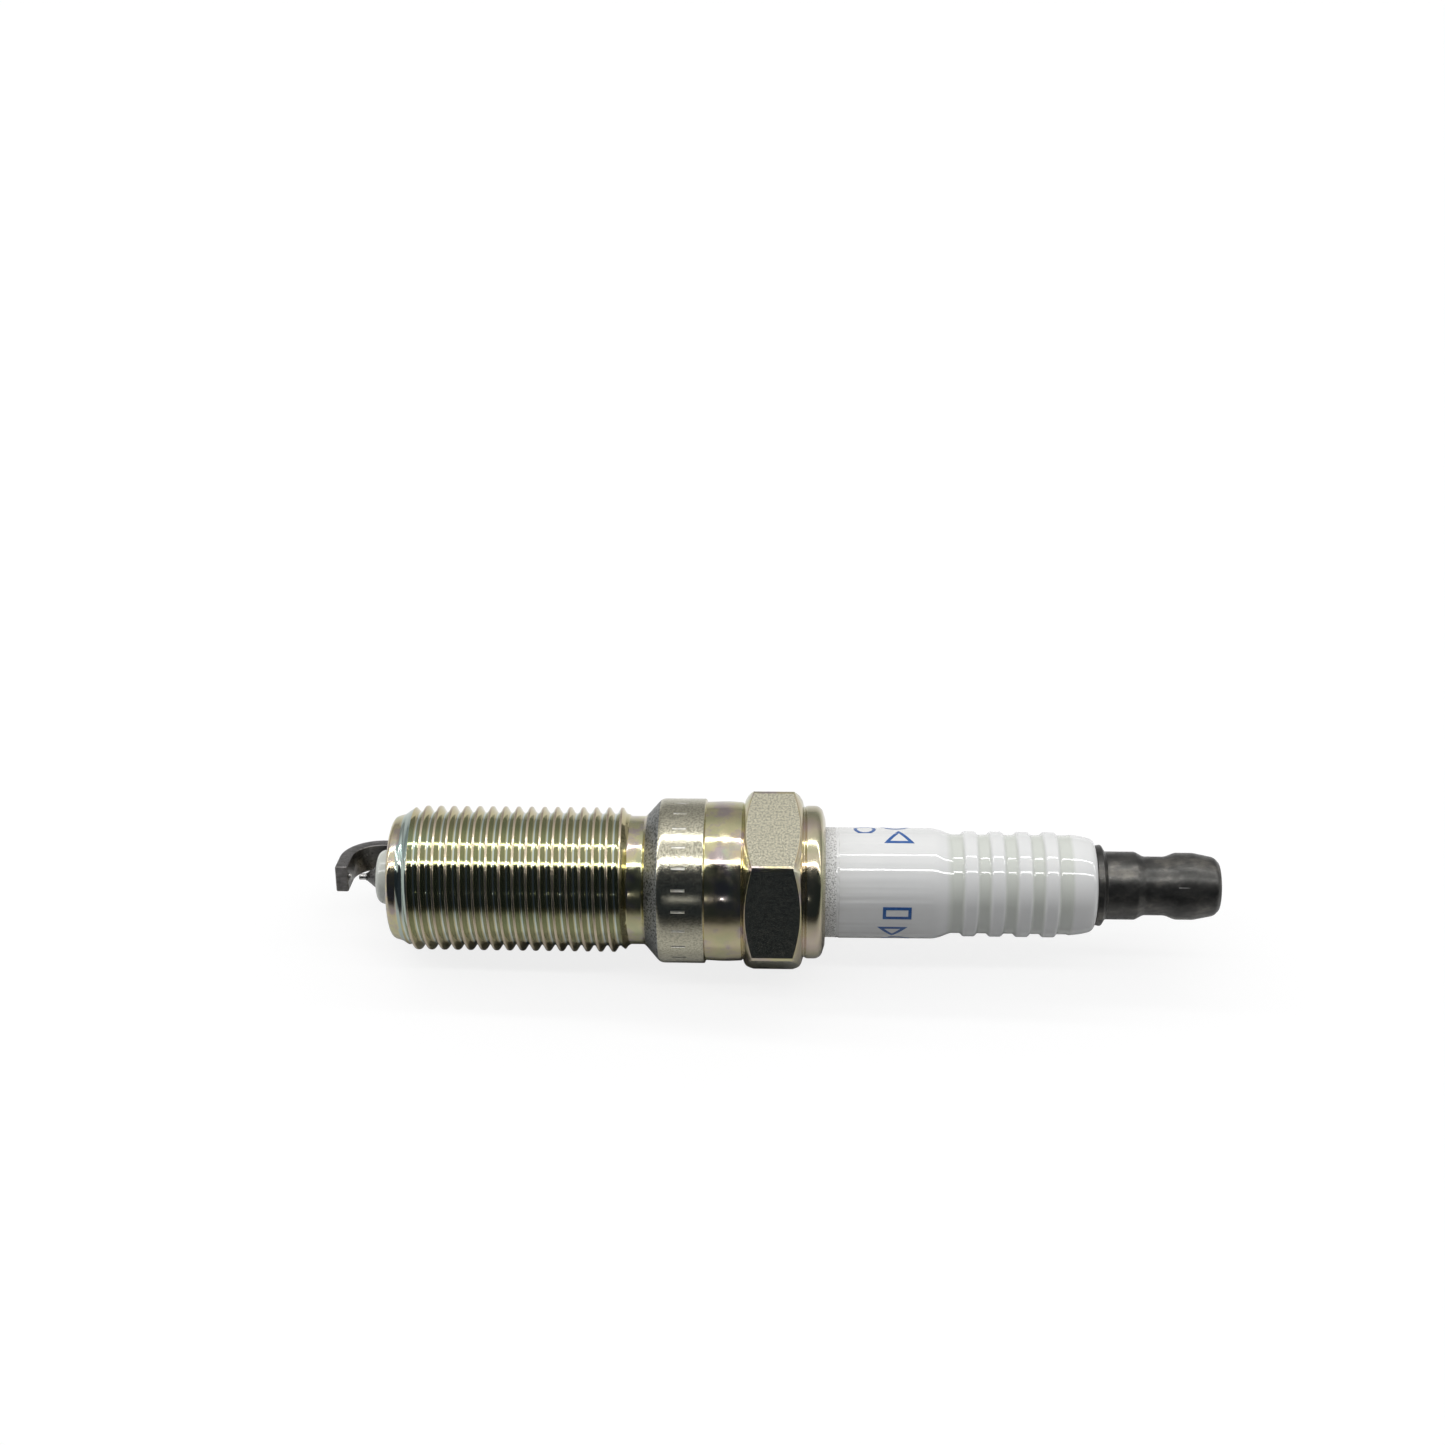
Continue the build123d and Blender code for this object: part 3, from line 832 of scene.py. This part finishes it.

# %% [markdown]
# The collar, the hexagon's flats and the seat were pressed or blasted before plating. The same
# film lies on a grainy skin there, so it looks paler and scatters the lamps. The crimp was rolled
# over hot and stays smooth. The punched dashes get a pale colour, a painted highlight, and a
# rougher finish, so they look pale in the dark.

# %% Pressed plating, the seat and the crimp
def pressed_plating(name, tone, contrast, rough_low, rough_high, grain_mm, depth_mm):
    """A grainy skin: its specks are darker than the tone by the contrast."""
    material, shader = finish(name, tone, metallic=1.0, roughness=0.4)
    dark = tuple(c * (1 - contrast) for c in tone)
    speckle = ramp(material, grain(material, grain_mm, detail=3.0, rough=0.65), (0.40, dark), (0.56, tone))
    wire_in(material, speckle, shader, "Base Color")
    sheen = ramp(material, grain(material, 0.5), (0.3, rough_low), (0.7, rough_high))
    wire_in(material, sheen, shader, "Roughness")
    bump(material, shader, grain(material, grain_mm, detail=3.0, rough=0.6), depth_mm)
    return material


pressed = pressed_plating("pressed_plating", (0.66, 0.63, 0.49), 0.34, 0.15, 0.23, 0.20, 0.008)
seat = pressed_plating("seat_plating", (0.34, 0.35, 0.34), 0.75, 0.34, 0.48, 0.20, 0.030)


def crimp_plating():
    material, shader = finish("crimp_plating", (0.62, 0.53, 0.42), metallic=1.0, roughness=0.12)
    tint = ramp(material, grain(material, 3.0, detail=3.0), (0.30, (0.46, 0.46, 0.29)),
                (0.52, (0.62, 0.55, 0.40)), (0.70, (0.62, 0.51, 0.46)))
    wire_in(material, tint, shader, "Base Color")
    wire_in(material, ramp(material, grain(material, 0.8), (0.35, 0.09), (0.70, 0.20)), shader, "Roughness")
    bump(material, shader, grain(material, 0.9, detail=3.0), 0.006)
    return material


crimp = crimp_plating()

# %% Shell: which face gets which plating
punched, punched_shader = finish("punched_marks", (0.80, 0.79, 0.74), metallic=1.0, roughness=0.5)
# painted highlight: the dashes' pale colour stands in for the light that their walls catch
dash_painted_highlight = ramp(punched, grain(punched, 0.3, detail=3.0), (0.3, (0.62, 0.60, 0.52)), (0.6, (0.86, 0.85, 0.80)))
wire_in(punched, dash_painted_highlight, punched_shader, "Base Color")
bump(punched, punched_shader, grain(punched, 0.1, detail=3.0), 0.010)
coat_with(shell, bright, pressed, seat, crimp, rolled, punched)
for face in shell.data.polygons:
    x = face.center.x / MM
    radius = hypot(face.center.y, face.center.z) / MM
    flat = face.area > 20 * MM ** 2
    if THREAD_START < x < THREAD_END and radius > PILOT_R:
        face.material_index = 4
    elif SEAT_START - 0.02 < x < SEAT_END - 0.1 and radius > PILOT_R:
        face.material_index = 2
    elif DASH_START < x < DASH_END and COLLAR_R - 0.2 < radius < COLLAR_R - 0.03:
        face.material_index = 5
    elif flat or (SEAT_END - 0.1 <= x < COLLAR_END and radius > WAIST_R):
        face.material_index = 1
    elif x > HEX_END and radius > LIP_R:
        face.material_index = 3
print("faces per plating:", [sum(1 for f in shell.data.polygons if f.material_index == i) for i in range(6)])

# %% [markdown]
# ### Glaze, ink and bare ceramic
# Glazed alumina is a white body under a thin clear coat, so the shader is white with a sharp
# gloss and hardly any pattern: a faint waviness in the glaze and a trace of grey. Next to the
# crimp the ceramic stays bare and gritty.

# %% Glaze, bare ceramic and ink
def glaze():
    """Clear over white, with painted shade: a greyer colour in the grooves."""
    material, shader = finish("white_glaze", (0.80, 0.80, 0.79), roughness=0.04, IOR=1.55,
                              Coat_Weight=0.3, Coat_Roughness=0.03)
    tone = ramp(material, grain(material, 6.0, detail=5.0),
                (0.3, (0.77, 0.775, 0.77)), (0.7, (0.82, 0.82, 0.81)))
    along = add(material, "SeparateXYZ", [("Vector", place(material))]).outputs["X"]
    ribbed = add(material, "MapRange", [("Value", along)],
                 From_Min=(LAST_RIB_X + 0.3) * MM, From_Max=LAST_RIB_X * MM)
    # painted shade: the grooves, between the barrel and the last rib, are coloured greyer than the ribs
    low = ramp(material, from_axis(material, GROOVE_R, RIB_R), (0.15, 1.0), (0.85, 0.0))
    groove_painted_shade = add(material, "Math", [(0, ribbed.outputs[0]), (1, low)], operation="MULTIPLY").outputs[0]
    wire_in(material, blend_colours(material, groove_painted_shade, tone, (0.66, 0.68, 0.63)), shader, "Base Color")
    bump(material, shader, grain(material, 2.4, detail=1.0), 0.003)
    return material


def bare_ceramic():
    material, shader = finish("bare_ceramic", (0.74, 0.74, 0.73), roughness=0.55, IOR=1.6)
    tone = ramp(material, grain(material, 0.14, detail=4.0),
                (0.34, (0.36, 0.36, 0.35)), (0.54, (0.86, 0.86, 0.85)))
    wire_in(material, tone, shader, "Base Color")
    wire_in(material, ramp(material, grain(material, 0.2), (0.4, 0.35), (0.6, 0.75)), shader, "Roughness")
    bump(material, shader, grain(material, 0.14, detail=4.0), 0.10)
    return material


def blue_ink():
    material, shader = finish("blue_ink", (0.05, 0.16, 0.42), roughness=0.28, IOR=1.5)
    tone = ramp(material, grain(material, 0.25, detail=4.0),
                (0.30, (0.045, 0.15, 0.42)), (0.65, (0.025, 0.09, 0.30)))
    wire_in(material, tone, shader, "Base Color")
    bump(material, shader, grain(material, 0.10, detail=2.0), 0.004)
    return material


LAST_RIB_X = GROOVE_X + GROOVE_PITCH * (GROOVE_COUNT - 1) + GROOVE_TOP / 2 - 0.1
coat_with(insulator, glaze(), bare_ceramic())
BARE_END = GLAZE_START - GLAZE_RUNOUT / 2
for face in insulator.data.polygons:
    if NOSE_TIP + 1 < face.center.x / MM < BARE_END:
        face.material_index = 1
coat_with(ink, blue_ink())

# %% [markdown]
# ### The darker metals
# The stud is steel that went through the glass-sealing furnace, so it is dark grey with scale.
# The electrodes are dull nickel alloy, rougher where the strap's end was sheared off, and the
# wire and pad are paler.

# %% Stud, nickel and precious metal
SCRATCH_X, SCRATCH_ANGLE = 49.3, 130       # middle of the scratch on the head
SCRATCH_REACH, SCRATCH_WIDTH = 1.25, 0.05  # half its length, and half its width


def furnace_steel():
    """Scaled steel with turning lines, and the bright scratch that a connector has left."""
    material, shader = finish("oxidised_stud", (0.10, 0.095, 0.09), metallic=0.85, roughness=0.36)
    patches = ramp(material, grain(material, 1.6, (0.6, 1, 1), detail=5.0, rough=0.6),
                   (0.32, (0.052, 0.052, 0.050)), (0.54, (0.100, 0.098, 0.092)), (0.70, (0.19, 0.18, 0.16)))
    around = radians(SCRATCH_ANGLE)
    middle = Vector((SCRATCH_X, HEAD_R * cos(around), HEAD_R * sin(around))) * MM
    scale = Vector((1 / SCRATCH_REACH, 1 / SCRATCH_WIDTH, 1 / SCRATCH_WIDTH)) / MM
    offset = Vector(-a * b for a, b in zip(middle, scale))
    where = add(material, "TexCoord").outputs["Object"]
    near = add(material, "Mapping", [("Vector", where)], Location=offset, Scale=scale).outputs[0]
    span = add(material, "VectorMath", [("Vector", near)], operation="LENGTH").outputs["Value"]
    scratch = ramp(material, span, (0.75, 1.0), (1.0, 0.0))
    wire_in(material, blend_colours(material, scratch, patches, (0.62, 0.60, 0.58)), shader, "Base Color")
    sheen = ramp(material, grain(material, 0.4, detail=4.0), (0.3, 0.28), (0.7, 0.44))
    wire_in(material, sheen, shader, "Roughness")
    bump(material, shader, grain(material, 0.5, (5, 0.8, 0.8), detail=4.0), 0.006)
    return material


def nickel(name, tone, line_depth, rough=0.26):
    material, shader = finish(name, tone, metallic=1.0, roughness=0.4)
    dark = tuple(0.6 * c for c in tone)
    streaks = ramp(material, grain(material, 0.35, (0.5, 1, 1), detail=5.0), (0.30, dark), (0.65, tone))
    wire_in(material, streaks, shader, "Base Color")
    sheen = ramp(material, grain(material, 0.2, detail=3.0), (0.3, rough), (0.7, rough + 0.14))
    wire_in(material, sheen, shader, "Roughness")
    bump(material, shader, grain(material, 0.12, (0.6, 1, 1), detail=3.0), line_depth)
    return material


coat_with(stud, furnace_steel())
coat_with(strap, nickel("strap_nickel", (0.24, 0.23, 0.225), 0.006),
          nickel("sheared_nickel", (0.36, 0.345, 0.335), 0.020, rough=0.62))
cut = -Vector((0, cos(radians(STRAP_ANGLE)), sin(radians(STRAP_ANGLE))))
for face in strap.data.polygons:
    face.material_index = int(face.normal.dot(cut) > 0.6 and face.center.x / MM < BEND_X - STRAP_BEND_R + 1)
coat_with(sheath, nickel("sheath_nickel", (0.20, 0.195, 0.19), 0.003, rough=0.20))
precious = nickel("precious_wire", (0.58, 0.57, 0.55), 0.003)
coat_with(wire, precious)
coat_with(pad, precious)

# %% [markdown]
# ### What is sealed inside
# The seals, the resistor, the core and the packings never show, yet they are part of the model
# and may be looked at in a cut-away. They keep their CAD shape and get a finish of their own.

# %% Hidden pieces keep their CAD mesh
def fused(name, tone, fleck, size_mm, roughness):
    """Glass or powder with flecks in it."""
    material, shader = finish(name, tone, roughness=roughness)
    flecks = ramp(material, grain(material, size_mm, detail=5.0), (0.45, tone), (0.62, fleck))
    wire_in(material, flecks, shader, "Base Color")
    bump(material, shader, grain(material, size_mm * 0.6, detail=3.0), 0.02)
    return material


seal_glass = fused("seal_glass", (0.05, 0.05, 0.055), (0.25, 0.22, 0.18), 0.3, 0.35)
HIDDEN = {
    "centre_electrode_core": nickel("copper_core", (0.80, 0.42, 0.27), 0.006),
    "lower_glass_seal": seal_glass,
    "upper_glass_seal": seal_glass,
    "resistor": fused("resistor_mass", (0.07, 0.065, 0.06), (0.16, 0.15, 0.14), 0.15, 0.6),
    "seat_packing": nickel("packing_steel", (0.55, 0.54, 0.52), 0.006),
    "talc_seal": fused("pressed_talc", (0.72, 0.71, 0.67), (0.58, 0.57, 0.53), 0.2, 0.9),
}
ring_steel = nickel("ring_steel", (0.50, 0.49, 0.47), 0.006)
HIDDEN["lower_packing_ring"] = ring_steel
HIDDEN["upper_packing_ring"] = ring_steel
for node, material in HIDDEN.items():
    coat_with(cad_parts[node], material)
print("hidden nodes finished:", ", ".join(sorted(HIDDEN)))

# %% [markdown]
# ## Table, lamps and camera
# The plug lies on a pale table. Its thread and the near edge of a wrench flat touch it, which
# tips the plug by two degrees, so the table is drawn tipped instead. Two long lamps hang
# overhead and draw the two bright lines along every round surface. A third lamp is tiny and
# leaves a small dot in each groove of the thread. The side from which one looks is dark, and
# what is behind the plug is a plain wall of middling brightness.

# %% Table
touch_thread = Vector((THREAD_START + 1.2, 0, -CREST_R))
touch_flat = Vector((HEX_START + 0.15, 0, -HEX_HALF))
tip = atan2(touch_thread.z - touch_flat.z, touch_flat.x - touch_thread.x)
deselect_all()
bpy.ops.mesh.primitive_plane_add(size=4, location=touch_flat * MM, rotation=(0, tip, 0))
table = bpy.context.object
table.name = "table"
print("table tipped by", round(degrees(tip), 2), "degrees")

# %% [markdown]
# The table looks white, but what the bright metal mirrors is less white: for every ray but the
# eye's, the paper is painted darker towards the front edge, a painted shadow of whoever looks at
# the plug and leans over it. A Light Path node keeps the two apart. For the eye the paper is
# white with a light shadow, and for every other ray it has a painted grey that falls off along Y.

# %% Table paper
# painted shadow: the greys that other rays see darken towards the front edge, where a viewer leans over the
# table
PAPER_PAINTED_SHADE = [(-85, 0.05), (-57, 0.16), (-22, 0.46), (-8, 0.66), (10, 0.82), (65, 0.58), (200, 0.42)]
paper, paper_shader = finish("pale_table", (0.93, 0.93, 0.93), roughness=0.9)
y_mm = add(paper, "SeparateXYZ", [("Vector", place(paper))]).outputs["Y"]
share = add(paper, "MapRange", [("Value", y_mm)], From_Min=PAPER_PAINTED_SHADE[0][0] * MM, From_Max=PAPER_PAINTED_SHADE[-1][0] * MM)
span = PAPER_PAINTED_SHADE[-1][0] - PAPER_PAINTED_SHADE[0][0]
painted_shade_greys = ramp(paper, share.outputs[0], *[((y - PAPER_PAINTED_SHADE[0][0]) / span, grey) for y, grey in PAPER_PAINTED_SHADE])
mirrored_painted_shade = add(paper, "BsdfDiffuse", [("Color", painted_shade_greys)])
fibres = ramp(paper, grain(paper, 30.0, detail=3.0), (0.3, (0.92, 0.92, 0.92)), (0.7, (0.94, 0.94, 0.94)))
shaded = add(paper, "BsdfDiffuse", [("Color", fibres)])
glow = add(paper, "Emission", Color=(1, 1, 1, 1), Strength=1.03)
seen = add(paper, "MixShader", [(1, glow.outputs[0]), (2, shaded.outputs[0])])
seen.inputs[0].default_value = 0.20
rays = add(paper, "LightPath")
both = add(paper, "MixShader", [(0, rays.outputs["Is Camera Ray"]), (1, mirrored_painted_shade.outputs[0]),
                                (2, seen.outputs[0])])
paper.node_tree.nodes.remove(paper_shader)
wire_in(paper, both.outputs[0], paper.node_tree.nodes["Material Output"], "Surface")
coat_with(table, paper)

# %% Lamps
def strip_lamp(name, angle, x, distance, width, length, power):
    """A lamp parallel to the plug, at an angle about X from +Y towards +Z."""
    light = bpy.data.lights.new(name, "AREA")
    light.shape = "RECTANGLE"
    light.size, light.size_y = length, width
    light.energy = power
    lamp = bpy.data.objects.new(name, light)
    bpy.context.collection.objects.link(lamp)
    along = Vector((1, 0, 0))
    outward = Vector((0, cos(radians(angle)), sin(radians(angle))))
    aim = Matrix((along, outward.cross(along), outward)).transposed().to_4x4()
    aim.translation = along * x + outward * distance
    lamp.matrix_world = aim


LAMP_DISTANCE = 0.50
strip_lamp("far_lamp", 65.5, 0.01, LAMP_DISTANCE, 0.026, 3.0, 2.9)
strip_lamp("near_lamp", 100.5, 0.01, LAMP_DISTANCE, 0.026, 3.0, 2.9)
strip_lamp("dot_lamp", 153.0, -0.013, LAMP_DISTANCE, 0.008, 0.008, 0.007)

# %% Room seen in reflections
DARK = (0.022, 0.027, 0.034)
ROOM = [  # angle about X from +Y towards +Z, grey level or colour
    (-180, DARK), (-20, 0.50), (0, 0.36), (17, 0.37), (30, 0.46), (42, 0.66), (56, 0.76),
    (80, 0.84), (101, 0.78), (105, DARK), (150, DARK), (178, DARK),
]
world = bpy.data.worlds.new("studio")
bpy.context.scene.world = world
world.use_nodes = True
nodes, links = world.node_tree.nodes, world.node_tree.links
direction = nodes.new("ShaderNodeTexCoord")
split = nodes.new("ShaderNodeSeparateXYZ")
links.new(direction.outputs["Generated"], split.inputs[0])
angle = nodes.new("ShaderNodeMath")
angle.operation = "ARCTAN2"
links.new(split.outputs["Z"], angle.inputs[0])
links.new(split.outputs["Y"], angle.inputs[1])
share = nodes.new("ShaderNodeMapRange")
share.inputs["From Min"].default_value = -pi
share.inputs["From Max"].default_value = pi
links.new(angle.outputs[0], share.inputs["Value"])
levels = nodes.new("ShaderNodeValToRGB")
links.new(share.outputs[0], levels.inputs["Fac"])
elements = levels.color_ramp.elements
while len(elements) < len(ROOM):
    elements.new(0.5)
for element, (degrees_round, level) in zip(elements, ROOM):
    element.position = (degrees_round + 180) / 360
    element.color = (*level, 1) if isinstance(level, tuple) else (level, level, level, 1)
seen = nodes.new("ShaderNodeLightPath")
choose = nodes.new("ShaderNodeMix")
choose.data_type = "RGBA"
links.new(seen.outputs["Is Camera Ray"], choose.inputs[0])
links.new(levels.outputs["Color"], choose.inputs[6])
choose.inputs[7].default_value = (0.93, 0.93, 0.93, 1)
links.new(choose.outputs[2], nodes["Background"].inputs["Color"])
nodes["Background"].inputs["Strength"].default_value = 1.0

# %% Camera
VIEW_ANGLE = 127.0          # about X from +Y towards +Z: 53 degrees above the horizon
towards = Vector((0, cos(radians(VIEW_ANGLE)), sin(radians(VIEW_ANGLE))))
upwards = Vector((0, cos(radians(VIEW_ANGLE - 90)), sin(radians(VIEW_ANGLE - 90))))
camera_place = Vector((13.66, 0, 0)) + towards * 206.9
camera_aim = Vector((6.31, 0, 0)) + upwards * 15.2
ahead = (camera_aim - camera_place).normalized()
right = ahead.cross(upwards).normalized()
right.rotate(Matrix.Rotation(radians(-0.68), 3, ahead))
above = right.cross(ahead)
camera_data = bpy.data.cameras.new("camera")
camera_data.sensor_width = 36
camera_data.lens = 53.71
camera_data.clip_start, camera_data.clip_end = 0.01, 10
camera = bpy.data.objects.new("camera", camera_data)
bpy.context.collection.objects.link(camera)
turned_to = Matrix((right, above, -ahead)).transposed().to_4x4()
turned_to.translation = camera_place * MM
camera.matrix_world = turned_to
bpy.context.scene.camera = camera
bpy.context.scene.view_settings.view_transform = "Standard"
